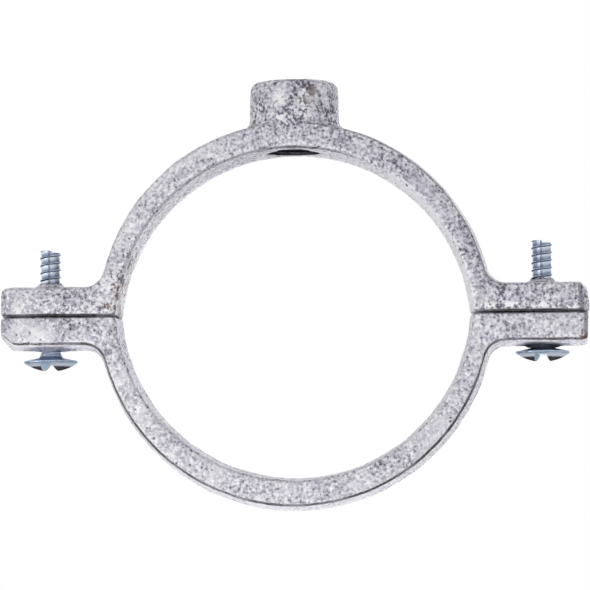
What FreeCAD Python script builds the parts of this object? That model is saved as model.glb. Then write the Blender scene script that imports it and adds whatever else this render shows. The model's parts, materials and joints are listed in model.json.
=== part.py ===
import FreeCAD, Part
import math
import os
import Sketcher

# Split ring hanger for a pipe: two galvanised castings that close round the pipe, held together
# by two screws, with a threaded boss on the crown for the hanging rod.
# The origin is on the pipe's axis, halfway along the band and halfway between the split faces.
# X runs along the ears, Y along the pipe and Z up to the rod. All sizes are in millimetres.

# Driving sizes, one cell each
SIZES = [
    ("pipe_radius", 44.45, "outer radius of the pipe, and of the seat's crest"),
    ("seat_drop", 3.3, "how far each seat's arc is centred beyond the split"),
    ("wall_crown", 8.35, "wall of the band at its crown, at the middle of its width"),
    ("wall_side", 6.05, "wall of the band beside the ears, at the middle of its width"),
    ("band_width", 23.0, "width of the band and the ears along the pipe"),
    ("draft_angle", 4.8, "draft of the castings, both ways from the middle of their width"),
    ("edge_round", 1.1, "rounding of the castings' front and back edges"),
    ("split_gap", 0.3, "gap between the split faces as the hanger is assembled"),
    ("split_round", 0.8, "rounding all round the split faces"),
    ("ear_thickness", 8.0, "thickness of an ear at the middle of its width"),
    ("ear_fillet", 4.6, "fillet between the ear and the band"),
    ("ear_corner", 2.6, "rounding of the ear's far corner"),
    ("screw_from_band", 12.15, "screw axis beyond the band's outer radius"),
    ("ear_past_screw", 12.5, "end of the ear beyond the screw axis"),
    ("collar_radius", 3.55, "base radius of the raised lip round the threaded hole"),
    ("collar_rise", 1.1, "height of that lip above the ear"),
    ("rim_radius", 4.2, "base radius of the low lip round the clearance hole"),
    ("rim_rise", 0.5, "height of that lip above the ear"),
    ("lip_lean", 40.0, "lean of both lips' sides from upright, in degrees"),
    ("boss_rise", 10.3, "top of the boss above the band's crown"),
    ("boss_inset", 0.15, "how far the boss stands back from the band's front and back at its root"),
    ("boss_taper", 0.25, "how much smaller the boss's radius is at its top"),
    ("boss_round", 2.2, "rounding of the boss's top edge"),
    ("boss_flare", 2.1, "fillet between the boss and the band"),
    ("flare_setback", 1.54, "how far that fillet stops short of the band's front and back"),
    ("rod_radius", 7.5, "radius of the threaded hole for the rod"),
    ("rod_chamfer", 1.0, "chamfer at both mouths of that hole"),
    ("shank_radius", 2.45, "mean radius of the screw's thread"),
    ("thread_clearance", 0.05, "clearance between the screw and its threaded hole"),
    ("hole_clearance", 0.75, "clearance between the screw and the lower ear's hole"),
    ("screw_reach", 28.75, "screw length from the head's rim to its tip"),
    ("tip_chamfer", 0.3, "chamfer of the screw's tip"),
    ("tip_step", 0.6, "how far one half of the tip stands back from the other"),
    ("head_radius", 6.9, "radius of the screw's head"),
    ("head_dome", 2.2, "height of the head's dome below its rim"),
    ("head_rim", 0.4, "thickness of the head's rim"),
    ("head_slope", 0.75, "rise of the head's sloping back"),
    ("neck_fillet", 0.9, "fillet between the head's back and the shank"),
    ("slot_mouth", 3.4, "width of the driving slot at its mouth"),
    ("slot_floor", 2.5, "width of the driving slot at its floor"),
    ("slot_depth", 1.9, "depth of the driving slot"),
    ("slot_turn", 9.0, "clockwise turn of both driving slots from the pipe's direction, in degrees"),
    ("flute_radius", 0.6, "radius of the cutting flute along the thread"),
    ("flute_reach", 12.0, "length of that flute from the tip"),
    ("flute_turn", 16.0, "place of that flute round the screw, from the slot's near end, in degrees"),
    ("left_rim_drop", 11.3, "rim of the left screw's head below the split"),
    ("right_rim_drop", 10.1, "rim of the right screw's head below the split"),
]

# Places that follow from the driving sizes
PLACES = [
    ("half_width", "Sizes.band_width / 2"),
    ("draft_loss", "half_width * tan(Sizes.draft_angle * 1 deg)"),
    ("split_face", "Sizes.split_gap / 2"),
    ("overrun", "draft_loss + Sizes.edge_round + 1"),
    ("crown_seat", "Sizes.pipe_radius - Sizes.seat_drop"),
    ("crown_top", "crown_seat + Sizes.wall_crown"),
    ("outer_radius", "Sizes.pipe_radius + Sizes.wall_side"),
    ("outer_drop", "outer_radius - crown_top"),
    ("ear_back", "split_face + Sizes.ear_thickness"),
    ("screw_axis", "outer_radius + Sizes.screw_from_band"),
    ("ear_end", "screw_axis + Sizes.ear_past_screw"),
    ("boss_top", "crown_top + Sizes.boss_rise"),
    ("boss_radius", "half_width - Sizes.boss_inset"),
    ("boss_top_radius", "boss_radius - Sizes.boss_taper"),
    ("flare_height", "sqrt((outer_radius + Sizes.boss_flare)^2"
                     " - (boss_radius + Sizes.boss_flare)^2) - outer_drop"),
    ("flare_foot", "outer_radius / (outer_radius + Sizes.boss_flare)"
                   " * (boss_radius + Sizes.boss_flare)"),
    ("flare_foot_height", "outer_radius / (outer_radius + Sizes.boss_flare)"
                          " * (flare_height + outer_drop) - outer_drop"),
    ("flare_trim", "half_width - Sizes.flare_setback"),
    ("boss_root", "crown_seat + Sizes.wall_crown / 2"),
    ("tapped_radius", "Sizes.shank_radius + Sizes.thread_clearance"),
    ("clear_radius", "Sizes.shank_radius + Sizes.hole_clearance"),
    ("head_back", "Sizes.head_rim + Sizes.head_slope"),
    ("dome_radius", "(Sizes.head_radius^2 + Sizes.head_dome^2) / (2 * Sizes.head_dome)"),
]

# The sketcher's numbers for the points of a line or arc, for its two axes and for the origin
START, END, CENTRE = range(1, 4)
LEVEL_AXIS, UPRIGHT_AXIS = range(-1, -3, -1)
ORIGIN = (LEVEL_AXIS, START)
# Two levels closer than this are the same level
TOUCH = 1e-4
# How far a cut runs on past what it cuts away
BEYOND = 5.0


def fill_sheet(doc, name, cells):
    """A sheet with one named cell a row."""
    sheet = doc.addObject("Spreadsheet::Sheet", name)
    for row, (alias, content, *remark) in enumerate(cells, start=1):
        sheet.set(f"A{row}", remark[0] if remark else alias.replace("_", " "))
        sheet.setAlias(f"B{row}", alias)
        sheet.set(f"B{row}", f"={content}" if isinstance(content, str) else str(content))
    doc.recompute()
    return sheet


def lay_sketch(body, name, role, lift=None):
    """A sketch on one of the body's own origin planes, raised from it where lift is given."""
    sketch = body.newObject("Sketcher::SketchObject", f"{body.Label}_{name}")
    plane = next(item for item in body.Origin.OriginFeatures if item.Role == role)
    sketch.AttachmentSupport = [(plane, "")]
    sketch.MapMode = "FlatFace"
    if lift:
        sketch.setExpression("AttachmentOffset.Base.z", lift)
    return sketch


def point(place):
    return FreeCAD.Vector(place[0], place[1], 0)


def add_line(sketch, start, end):
    return sketch.addGeometry(Part.LineSegment(point(start), point(end)), False)


def add_arc(sketch, centre, radius, from_angle, to_angle):
    """An arc that runs anticlockwise between two angles in radians."""
    circle = Part.Circle(point(centre), FreeCAD.Vector(0, 0, 1), radius)
    return sketch.addGeometry(Part.ArcOfCircle(circle, from_angle, to_angle), False)


def add_circle(sketch, centre, radius):
    circle = Part.Circle(point(centre), FreeCAD.Vector(0, 0, 1), radius)
    return sketch.addGeometry(circle, False)


def tie(sketch, kind, *where):
    sketch.addConstraint(Sketcher.Constraint(kind, *where))


def bind(sketch, kind, *where, to):
    """A dimension that starts at what the sketch measures and then follows an expression."""
    if kind == "Radius":
        measured = sketch.Geometry[where[0]].Radius
    else:
        span = sketch.getPoint(*where[2:]) - sketch.getPoint(*where[:2])
        measured = span.x if kind == "DistanceX" else span.y
    index = sketch.addConstraint(Sketcher.Constraint(kind, *where, measured))
    sketch.setExpression(f"Constraints[{index}]", to)


def pin(sketch, geometry, end, place):
    """Holds one point of the sketch at a pair of expressions, from the sketch's origin."""
    bind(sketch, "DistanceX", *ORIGIN, geometry, end, to=place[0])
    bind(sketch, "DistanceY", *ORIGIN, geometry, end, to=place[1])


def join_up(sketch, chain):
    """Joins each line of a closed chain to the next one's start."""
    for line, following in zip(chain, chain[1:] + chain[:1]):
        tie(sketch, "Coincident", line, END, following, START)


def add_polygon(sketch, corners):
    """A closed outline whose corners are pairs of expressions."""
    turns = [2 * math.pi * number / len(corners) for number in range(len(corners))]
    rough = [(math.cos(turn), math.sin(turn)) for turn in turns]
    lines = [add_line(sketch, start, end) for start, end in zip(rough, rough[1:] + rough[:1])]
    join_up(sketch, lines)
    for line, corner in zip(lines, corners):
        pin(sketch, line, START, corner)


def half_outline(body, places, sizes):
    """Front outline of one half at the middle of its width: seat, split line, ears and band."""
    sketch = lay_sketch(body, "outline", "XZ_Plane")
    low = places.split_face - places.overrun
    seat_x = math.sqrt(sizes.pipe_radius ** 2 - (low + sizes.seat_drop) ** 2)
    seat_angle = math.asin((low + sizes.seat_drop) / sizes.pipe_radius)
    fillet_z = places.ear_back + sizes.ear_fillet
    reach = places.outer_radius + sizes.ear_fillet
    fillet_angle = math.asin((fillet_z + places.outer_drop) / reach)
    fillet_x = reach * math.cos(fillet_angle)
    corner_x = places.ear_end - sizes.ear_corner
    corner_z = places.ear_back - sizes.ear_corner

    seat = add_arc(sketch, (0, -sizes.seat_drop), sizes.pipe_radius, seat_angle, math.pi - seat_angle)
    band = add_arc(sketch, (0, -places.outer_drop), places.outer_radius,
                   fillet_angle, math.pi - fillet_angle)
    for side in (1, -1):
        split = add_line(sketch, (side * seat_x, low), (side * places.ear_end, low))
        end = add_line(sketch, (side * places.ear_end, low), (side * places.ear_end, corner_z))
        back = add_line(sketch, (side * corner_x, places.ear_back), (side * fillet_x, places.ear_back))
        if side > 0:
            near, far = START, END
            corner = add_arc(sketch, (corner_x, corner_z), sizes.ear_corner, 0, math.pi / 2)
            fillet = add_arc(sketch, (fillet_x, fillet_z), sizes.ear_fillet,
                             math.pi + fillet_angle, 1.5 * math.pi)
            bind(sketch, "DistanceX", *ORIGIN, end, START, to="Places.ear_end")
        else:
            near, far = END, START
            corner = add_arc(sketch, (-corner_x, corner_z), sizes.ear_corner, math.pi / 2, math.pi)
            fillet = add_arc(sketch, (-fillet_x, fillet_z), sizes.ear_fillet,
                             -math.pi / 2, -fillet_angle)
            bind(sketch, "DistanceX", end, START, *ORIGIN, to="Places.ear_end")
        tie(sketch, "Coincident", seat, near, split, START)
        tie(sketch, "Coincident", split, END, end, START)
        tie(sketch, "Tangent", end, END, corner, near)
        tie(sketch, "Tangent", corner, far, back, START)
        tie(sketch, "Tangent", back, END, fillet, far)
        tie(sketch, "Tangent", fillet, near, band, near)
        tie(sketch, "Horizontal", split)
        tie(sketch, "Vertical", end)
        tie(sketch, "Horizontal", back)
        bind(sketch, "Radius", corner, to="Sizes.ear_corner")
        bind(sketch, "Radius", fillet, to="Sizes.ear_fillet")
        bind(sketch, "DistanceY", split, END, *ORIGIN, to="Places.overrun - Places.split_face")
        bind(sketch, "DistanceY", *ORIGIN, back, START, to="Places.ear_back")
    for arc, radius, drop in ((seat, "Sizes.pipe_radius", "Sizes.seat_drop"),
                              (band, "Places.outer_radius", "Places.outer_drop")):
        tie(sketch, "PointOnObject", arc, CENTRE, UPRIGHT_AXIS)
        bind(sketch, "Radius", arc, to=radius)
        bind(sketch, "DistanceY", arc, CENTRE, *ORIGIN, to=drop)
    return sketch


def add_half_ring(body, places, sizes):
    """The half's outline, drafted to the front and to the back as it leaves its mould."""
    pad = body.newObject("PartDesign::Pad", f"{body.Label}_band")
    pad.Profile = half_outline(body, places, sizes)
    pad.SideType = "Two sides"
    for length, taper in (("Length", "TaperAngle"), ("Length2", "TaperAngle2")):
        pad.setExpression(length, "Places.half_width")
        pad.setExpression(taper, "-Sizes.draft_angle")


def revolve(body, name, kind, sketch):
    """A revolution or groove about the body's upright axis."""
    turned = body.newObject(f"PartDesign::{kind}", f"{body.Label}_{name}")
    turned.Profile = sketch
    turned.ReferenceAxis = (sketch, ["V_Axis"])
    turned.Angle = 360


def cut_away(body, name, sketch, length=None, both_ways=False):
    """A pocket down from its sketch, or through everything both ways."""
    pocket = body.newObject("PartDesign::Pocket", f"{body.Label}_{name}")
    pocket.Profile = sketch
    if both_ways:
        pocket.SideType = "Symmetric"
        pocket.Type = "ThroughAll"
    else:
        pocket.setExpression("Length", length)


def edge_middle(edge):
    first, last = edge.ParameterRange
    return edge.valueAt((first + last) / 2)


def lies_at(edge, axis, level):
    """Whether an edge lies wholly at one level along an axis."""
    places = [corner.Point for corner in edge.Vertexes] + [edge_middle(edge)]
    return all(abs(place[axis] - level) < TOUCH for place in places)


def round_edges(body, name, radius, picks):
    """Rounds the edges of the body so far that picks says yes to."""
    body.Document.recompute()
    base = body.Tip
    names = [f"Edge{number}" for number, edge in enumerate(base.Shape.Edges, start=1) if picks(edge)]
    fillet = body.newObject("PartDesign::Fillet", f"{body.Label}_{name}")
    fillet.Base = (base, names)
    fillet.setExpression("Radius", radius)


def add_flare(body, places, sizes):
    """The fillet between boss and band, which stops short of the band's front and back edges."""
    sketch = lay_sketch(body, "flare_profile", "XZ_Plane")
    side, foot = places.boss_radius, places.flare_foot
    top, toe, root = places.flare_height, places.flare_foot_height, places.boss_root
    centre = (side + sizes.boss_flare, top)
    toe_angle = math.atan2(toe - centre[1], foot - centre[0]) + 2 * math.pi
    floor = add_line(sketch, (0, root), (foot, root))
    wall = add_line(sketch, (foot, root), (foot, toe))
    curve = add_arc(sketch, centre, sizes.boss_flare, math.pi, toe_angle)
    lid = add_line(sketch, (side, top), (0, top))
    axis = add_line(sketch, (0, top), (0, root))
    tie(sketch, "Coincident", floor, END, wall, START)
    tie(sketch, "Coincident", wall, END, curve, END)
    tie(sketch, "Coincident", curve, START, lid, START)
    tie(sketch, "Coincident", lid, END, axis, START)
    tie(sketch, "Coincident", axis, END, floor, START)
    pin(sketch, floor, START, ("0", "Places.boss_root"))
    pin(sketch, wall, START, ("Places.flare_foot", "Places.boss_root"))
    tie(sketch, "Vertical", wall)
    tie(sketch, "Vertical", axis)
    tie(sketch, "Horizontal", lid)
    pin(sketch, curve, CENTRE, ("Places.boss_radius + Sizes.boss_flare", "Places.flare_height"))
    bind(sketch, "Radius", curve, to="Sizes.boss_flare")
    revolve(body, "flare", "Revolution", sketch)

    trim = lay_sketch(body, "flare_trim", "XY_Plane")
    reach = f"(Places.flare_foot + {BEYOND})"
    for sign in ("", "-"):
        near, far = f"{sign}Places.flare_trim", f"{sign}{reach}"
        add_polygon(trim, [(f"-{reach}", near), (reach, near), (reach, far), (f"-{reach}", far)])
    cut_away(body, "flare_ends", trim, both_ways=True)


def add_boss(body, places, sizes):
    """The round boss, its rounded top and the threaded hole, which opens into the seat."""
    sketch = lay_sketch(body, "boss_profile", "XZ_Plane")
    add_polygon(sketch, [("0", "Places.boss_root"),
                         ("Places.boss_radius", "Places.boss_root"),
                         ("Places.boss_radius", "Places.flare_height"),
                         ("Places.boss_top_radius", "Places.boss_top"),
                         ("0", "Places.boss_top")])
    revolve(body, "boss", "Revolution", sketch)
    round_edges(body, "boss_top", "Sizes.boss_round", lambda edge: lies_at(edge, 2, places.boss_top))

    bore = lay_sketch(body, "rod_hole_profile", "XZ_Plane")
    mouth = f"Sizes.rod_radius + Sizes.rod_chamfer + {BEYOND}"
    add_polygon(bore, [("0", f"Places.crown_seat - {BEYOND}"),
                       (mouth, f"Places.crown_seat - {BEYOND}"),
                       ("Sizes.rod_radius", "Places.crown_seat + Sizes.rod_chamfer"),
                       ("Sizes.rod_radius", "Places.boss_top - Sizes.rod_chamfer"),
                       (mouth, f"Places.boss_top + {BEYOND}"),
                       ("0", f"Places.boss_top + {BEYOND}")])
    revolve(body, "rod_hole", "Groove", bore)


def ear_circles(body, places, name, radius, lift=None):
    """A sketch with a circle on each screw's axis."""
    sketch = lay_sketch(body, name, "XY_Plane", lift)
    for side in (1, -1):
        circle = add_circle(sketch, (side * places.screw_axis, 0), 1.0)
        tie(sketch, "PointOnObject", circle, CENTRE, LEVEL_AXIS)
        ends = (*ORIGIN, circle, CENTRE) if side > 0 else (circle, CENTRE, *ORIGIN)
        bind(sketch, "DistanceX", *ends, to="Places.screw_axis")
        bind(sketch, "Radius", circle, to=radius)
    return sketch


def add_lips(body, places, radius, rise):
    """A raised lip round each screw hole, on the ear's outer side."""
    sunk = "Sizes.edge_round"
    pad = body.newObject("PartDesign::Pad", f"{body.Label}_lips")
    pad.Profile = ear_circles(body, places, "lip_circles", f"{radius} + {sunk} * tan(Sizes.lip_lean * 1 deg)",
                              lift=f"Places.ear_back - {sunk}")
    pad.setExpression("Length", f"{rise} + {sunk}")
    pad.setExpression("TaperAngle", "-Sizes.lip_lean")


def cut_split_face(body, places):
    """The flat split face, with rounded edges."""
    sketch = lay_sketch(body, "split_plane", "XY_Plane", lift="Places.split_face")
    across = f"(Places.ear_end + {BEYOND})"
    along = f"(Places.half_width + {BEYOND})"
    add_polygon(sketch, [(f"-{across}", f"-{along}"), (across, f"-{along}"),
                         (across, along), (f"-{across}", along)])
    cut_away(body, "split_cut", sketch, length="Places.overrun")
    round_edges(body, "split_edges", "Sizes.split_round",
                lambda edge: lies_at(edge, 2, places.split_face))


def make_half(doc, places, sizes, name, with_boss, hole_radius, lip_radius, lip_rise):
    """One casting, as it stands with its ears below its crown."""
    body = doc.addObject("PartDesign::Body", name)
    body.Label = name
    if with_boss:
        add_flare(body, places, sizes)
    add_half_ring(body, places, sizes)
    faces = (-places.half_width, places.half_width)
    round_edges(body, "edges", "Sizes.edge_round",
                lambda edge: any(lies_at(edge, 1, face) for face in faces) and edge_middle(edge).z > 0)
    add_lips(body, places, lip_radius, lip_rise)
    if with_boss:
        add_boss(body, places, sizes)
    cut_split_face(body, places)
    cut_away(body, "screw_holes", ear_circles(body, places, "hole_circles", hole_radius), both_ways=True)
    return body


def screw_profile(body, places, sizes):
    """Half the screw's outline: dome, rim, sloping back, shank and blunt tip."""
    sketch = lay_sketch(body, "profile", "XZ_Plane")
    dome_middle = places.dome_radius - sizes.head_dome
    rim_angle = -math.asin(dome_middle / places.dome_radius)
    dome = add_arc(sketch, (0, dome_middle), places.dome_radius, -math.pi / 2, rim_angle)
    corners = [(sizes.head_radius, 0), (sizes.head_radius, sizes.head_rim),
               (sizes.shank_radius, places.head_back),
               (sizes.shank_radius, sizes.screw_reach - sizes.tip_chamfer),
               (sizes.shank_radius - sizes.tip_chamfer, sizes.screw_reach),
               (0, sizes.screw_reach), (0, -sizes.head_dome)]
    lines = [add_line(sketch, start, end) for start, end in zip(corners, corners[1:])]
    join_up(sketch, [dome] + lines)
    shank, tip = "Sizes.shank_radius", "Sizes.screw_reach"
    pins = [("Sizes.head_radius", "0"), ("Sizes.head_radius", "Sizes.head_rim"),
            (shank, "Places.head_back"), (shank, f"{tip} - Sizes.tip_chamfer"),
            (f"{shank} - Sizes.tip_chamfer", tip), ("0", tip)]
    for line, place in zip(lines, pins):
        pin(sketch, line, START, place)
    pin(sketch, lines[-1], END, ("0", "-Sizes.head_dome"))
    tie(sketch, "PointOnObject", dome, CENTRE, UPRIGHT_AXIS)
    return sketch


def make_screw(doc, places, sizes, name, side, rim_drop):
    """A screw with its head down, on the axis of one pair of ears."""
    body = doc.addObject("PartDesign::Body", name)
    body.Label = name
    revolve(body, "turned", "Revolution", screw_profile(body, places, sizes))
    round_edges(body, "neck", "Sizes.neck_fillet",
                lambda edge: lies_at(edge, 2, places.head_back))

    slot = lay_sketch(body, "slot_section", "XZ_Plane")
    floor, mouth = "Sizes.slot_floor / 2", "Sizes.slot_mouth / 2"
    floor_height, crown = "Sizes.slot_depth - Sizes.head_dome", "-Sizes.head_dome"
    add_polygon(slot, [(floor, floor_height), (mouth, crown), (mouth, f"{crown} - {BEYOND}"),
                       (f"-{mouth}", f"{crown} - {BEYOND}"), (f"-{mouth}", crown),
                       (f"-{floor}", floor_height)])
    cut_away(body, "slot", slot, both_ways=True)

    flute = lay_sketch(body, "flute_circle", "XY_Plane", lift="Sizes.screw_reach")
    groove = add_circle(flute, (0, -sizes.shank_radius), sizes.flute_radius)
    pin(flute, groove, CENTRE, ("Sizes.shank_radius * sin(Sizes.flute_turn * 1 deg)",
                                "-Sizes.shank_radius * cos(Sizes.flute_turn * 1 deg)"))
    bind(flute, "Radius", groove, to="Sizes.flute_radius")
    cut_away(body, "flute", flute, length="Sizes.flute_reach")

    step = lay_sketch(body, "tip_half", "XY_Plane", lift="Sizes.screw_reach")
    far = f"(Sizes.shank_radius + {BEYOND})"
    add_polygon(step, [("0", f"-{far}"), (far, f"-{far}"), (far, far), ("0", far)])
    cut_away(body, "tip_step", step, length="Sizes.tip_step")

    body.setExpression("Placement.Base.x", f"{side} * Places.screw_axis")
    body.setExpression("Placement.Base.z", f"-{rim_drop}")
    body.setExpression("Placement.Rotation.Angle", "-Sizes.slot_turn")
    return body


def main():
    doc = FreeCAD.newDocument("split_ring_hanger")
    sizes = fill_sheet(doc, "Sizes", SIZES)
    places = fill_sheet(doc, "Places", PLACES)
    upper = make_half(doc, places, sizes, "upper_half", True, "Places.tapped_radius",
                      "Sizes.collar_radius", "Sizes.collar_rise")
    lower = make_half(doc, places, sizes, "lower_half", False, "Places.clear_radius",
                      "Sizes.rim_radius", "Sizes.rim_rise")
    lower.Placement = FreeCAD.Placement(FreeCAD.Vector(), FreeCAD.Rotation(FreeCAD.Vector(0, 1, 0), 180))
    screws = [make_screw(doc, places, sizes, "screw_left", -1, "Sizes.left_rim_drop"),
              make_screw(doc, places, sizes, "screw_right", 1, "Sizes.right_rim_drop")]
    doc.recompute()

    for item in doc.Objects:
        if "Invalid" in item.State or "Error" in item.State:
            raise RuntimeError(f"{item.Label} failed: {item.State}")
    os.makedirs("parts", exist_ok=True)
    for body in (upper, lower, *screws):
        shape = body.Shape
        if shape.isNull() or not shape.isValid() or len(shape.Solids) != 1:
            raise RuntimeError(f"{body.Label} is not one valid solid")
        shape.exportStep(f"parts/{body.Label}.step")
        print(f"{body.Label}: {shape.Volume:.1f} mm3, {len(shape.Faces)} faces")


main()
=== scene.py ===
import json
import math

import bmesh
import bpy
import numpy as np
from mathutils import Matrix, Quaternion, Vector


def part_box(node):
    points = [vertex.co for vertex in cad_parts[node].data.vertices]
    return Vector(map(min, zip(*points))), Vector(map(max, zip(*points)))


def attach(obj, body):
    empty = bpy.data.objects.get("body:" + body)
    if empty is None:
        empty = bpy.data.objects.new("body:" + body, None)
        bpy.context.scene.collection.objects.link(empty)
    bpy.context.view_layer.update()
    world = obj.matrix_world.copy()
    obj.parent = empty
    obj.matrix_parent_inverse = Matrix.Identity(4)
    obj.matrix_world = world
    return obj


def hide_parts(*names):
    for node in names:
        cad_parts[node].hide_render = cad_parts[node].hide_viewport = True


# The looks of a split ring hanger: two rough galvanised castings round the pipe's place, two
# thread-cutting screws through their ears, and a pipe thread in the boss on the crown.

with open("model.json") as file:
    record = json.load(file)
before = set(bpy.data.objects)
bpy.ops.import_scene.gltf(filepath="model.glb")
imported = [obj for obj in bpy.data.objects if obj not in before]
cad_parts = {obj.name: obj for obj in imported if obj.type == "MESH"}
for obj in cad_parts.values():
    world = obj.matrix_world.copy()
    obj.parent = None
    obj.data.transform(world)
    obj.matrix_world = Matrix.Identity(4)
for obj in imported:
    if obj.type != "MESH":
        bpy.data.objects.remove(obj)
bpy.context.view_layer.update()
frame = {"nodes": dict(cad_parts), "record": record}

MM = 0.001
TAU = 2 * math.pi

# Places read from the fixed frame
UPPER_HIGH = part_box("upper_half")[1]
HALF_WIDTH, BOSS_TOP = UPPER_HIGH.y, UPPER_HIGH.z
SCREW_AXIS = (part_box("screw_right")[0].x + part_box("screw_right")[1].x) / 2
ROD = next(mount for mount in frame["record"]["mounts"] if mount["name"] == "rod_thread")
ROD_CREST = ROD["dims"]["r_mm"] * MM

# How near points are joined: in the frame's solids, in turned pieces, after a cut, in a cutter
JOIN_SOLID, JOIN_TURNED, JOIN_CUT, JOIN_CUTTER = 2e-6, 1e-6, 5e-7, 1e-7
# The angle in degrees from which an edge is shaded sharp
SCREW_SHARP, ROD_SHARP = 38, 40

# Castings
VOXEL = 0.42 * MM
SOFTENING_STEPS, SOFTENING_SHARE = 3, 0.5
LUMP_SIZE, LUMP_HEIGHT = 7.0 * MM, 0.22 * MM
DIMPLE_SIZE, DIMPLE_HEIGHT = 2.2 * MM, 0.13 * MM
GRIT_SIZE, GRIT_HEIGHT = 0.9 * MM, 0.06 * MM
UPPER_SEED, LOWER_SEED = 11.3, 47.9
EAR_UNDERSIDE = -8.15 * MM
LIP_REACH, LIP_WEAR = 5.5 * MM, 0.85

# Pipe thread in the boss
ROD_PITCH = 25.4 / 18 * MM
ROD_DEPTH = 0.95 * MM
ROD_LOWEST = 42.0 * MM
ROD_CHAMFER, ROD_FADE = 1.0 * MM, 1.0 * MM
ROD_BACKING, BORE_ROOM = 0.45 * MM, 0.3 * MM
ROD_PROUD = 0.01 * MM
ROD_BEVEL_ACROSS, ROD_BEVEL_DOWN = 0.2 * MM, 0.3 * MM
BORE_ABOVE = 5 * MM

# Screws
HEAD_RADIUS, HEAD_DOME = 6.9 * MM, 2.2 * MM
HEAD_RIM, HEAD_SLOPE = 0.4 * MM, 0.75 * MM
HEAD_BULGE, HEAD_TUCK = 0.03 * MM, 0.05 * MM
NECK_FILLET = 0.9 * MM
SHANK_FROM = HEAD_RIM + HEAD_SLOPE
THREAD_FROM = SHANK_FROM + 0.6 * NECK_FILLET
DOME_STEPS, FILLET_STEPS = 32, 10
THREAD_ROOT, THREAD_CREST = 2.36 * MM, 2.7 * MM
THREAD_PITCH = 1.9 * MM
THREAD_FADE = 1.2 * MM
TIP_CHAMFER, TIP_STEP = 0.3 * MM, 0.6 * MM
SLOT_MOUTH, SLOT_FLOOR, SLOT_DEPTH = 3.8 * MM, 2.8 * MM, 1.9 * MM
SLOT_TURN = math.radians(-6.5)
CUTTER_ROOM = 1.0 * MM
FLUTE_RADIUS, FLUTE_REACH = 0.42 * MM, 12.0 * MM
FLUTE_TURN = math.radians(3)

# The photograph's view
CAMERA_DISTANCE = 1.158
CAMERA_TURN = math.radians(2.7)
CAMERA_RISE = math.radians(-4.0)
CAMERA_ROLL = math.radians(0.45)
VIEW_CENTRE = Vector((-0.22 * MM, 0, 5.5 * MM))
VIEW_WIDTH = 150.3 * MM
SENSOR_WIDTH = 36
CLIP_START, CLIP_END = 0.01, 20

# Studio
FLOOR_LEVEL, FLOOR_HALF, FLOOR_GREY = -0.45, 3.0, 0.93
SOFT_LEVEL, WHITE_LEVEL = 0.56, 1.0
# Lamps: name, place, aim, side, watts, and whether the metal mirrors them
LAMPS = [
    ("key_lamp", (-1.0, -0.55, -0.45), (0, 0, 0), 0.5, 4.0, True),
    ("front_lamp", (-0.15, -1.1, -0.30), (-0.02, 0, -0.03), 0.6, 1.9, True),
    ("table_lamp", (-0.03, 0.05, -0.40), (0, 0, 0), 0.4, 1.4, False),
    ("back_lamp", (0.3, 1.2, 0.15), (0, 0, 0), 0.9, 2.4, True),
]


class Maker:
    """Adds nodes to one tree and joins them up."""

    def __init__(self, tree):
        self.tree = tree

    def add(self, kind, wires=None, **settings):
        node = self.tree.nodes.new(kind)
        for name, value in settings.items():
            setattr(node, name, value)
        for key, value in (wires or {}).items():
            if isinstance(value, bpy.types.NodeSocket):
                self.tree.links.new(value, node.inputs[key])
            else:
                node.inputs[key].default_value = value
        return node

    def calc(self, operation, *values, clamp=False):
        node = self.add("ShaderNodeMath", dict(enumerate(values)), operation=operation, use_clamp=clamp)
        return node.outputs[0]

    def ramp(self, value, low, high, to_low=0.0, to_high=1.0, smooth=True):
        """A value that goes from one level to another between two limits."""
        node = self.add("ShaderNodeMapRange", {0: value, 1: low, 2: high, 3: to_low, 4: to_high},
                        interpolation_type="SMOOTHSTEP" if smooth else "LINEAR")
        return node.outputs[0]

    def between(self, share, first, second):
        """A value part of the way from one value to another."""
        return self.calc("MULTIPLY_ADD", self.calc("SUBTRACT", second, first), share, first)

    def swing(self, value, amount, middle):
        """A middle value that swings by an amount as a noise goes from 0 to 1."""
        return self.calc("MULTIPLY_ADD", self.calc("SUBTRACT", value, 0.5), amount, middle)

    def mark(self, name):
        """A value marked on the mesh."""
        return self.add("ShaderNodeAttribute", attribute_name=name).outputs["Fac"]

    def feed(self, node, values):
        """Joins values that change over the surface to a node's inputs."""
        for title, value in values.items():
            self.tree.links.new(value, node.inputs[title])


def new_group(name, kind, inputs, outputs):
    """A node group with named sockets, and the maker and the two ends to build it with."""
    group = bpy.data.node_groups.new(name, kind)
    for in_out, sockets in (("INPUT", inputs), ("OUTPUT", outputs)):
        for title, socket_type, *value in sockets:
            socket = group.interface.new_socket(title, in_out=in_out, socket_type="NodeSocket" + socket_type)
            if value:
                socket.default_value = value[0]
    make = Maker(group)
    start = make.add("NodeGroupInput").outputs
    end = make.add("NodeGroupOutput").inputs
    return group, make, start, end


def put_in_scene(name, mesh):
    obj = bpy.data.objects.new(name, mesh)
    bpy.context.scene.collection.objects.link(obj)
    return obj


def add_nodes(obj, group, values):
    """A Geometry Nodes modifier whose inputs are set by their names."""
    modifier = obj.modifiers.new(group.name, "NODES")
    modifier.node_group = group
    for item in group.interface.items_tree:
        if item.in_out == "INPUT" and item.name in values:
            modifier[item.identifier] = values[item.name]


def settle(obj):
    """Turns an object's modifiers into plain mesh."""
    depsgraph = bpy.context.evaluated_depsgraph_get()
    mesh = bpy.data.meshes.new_from_object(obj.evaluated_get(depsgraph), depsgraph=depsgraph)
    obj.modifiers.clear()
    obj.data = mesh


def clean_mesh(mesh, distance, recalculate=False):
    bm = bmesh.new()
    bm.from_mesh(mesh)
    bmesh.ops.remove_doubles(bm, verts=bm.verts, dist=distance)
    bmesh.ops.dissolve_degenerate(bm, edges=bm.edges, dist=distance)
    if recalculate:
        bmesh.ops.recalc_face_normals(bm, faces=bm.faces)
    bm.to_mesh(mesh)
    bm.free()


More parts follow.
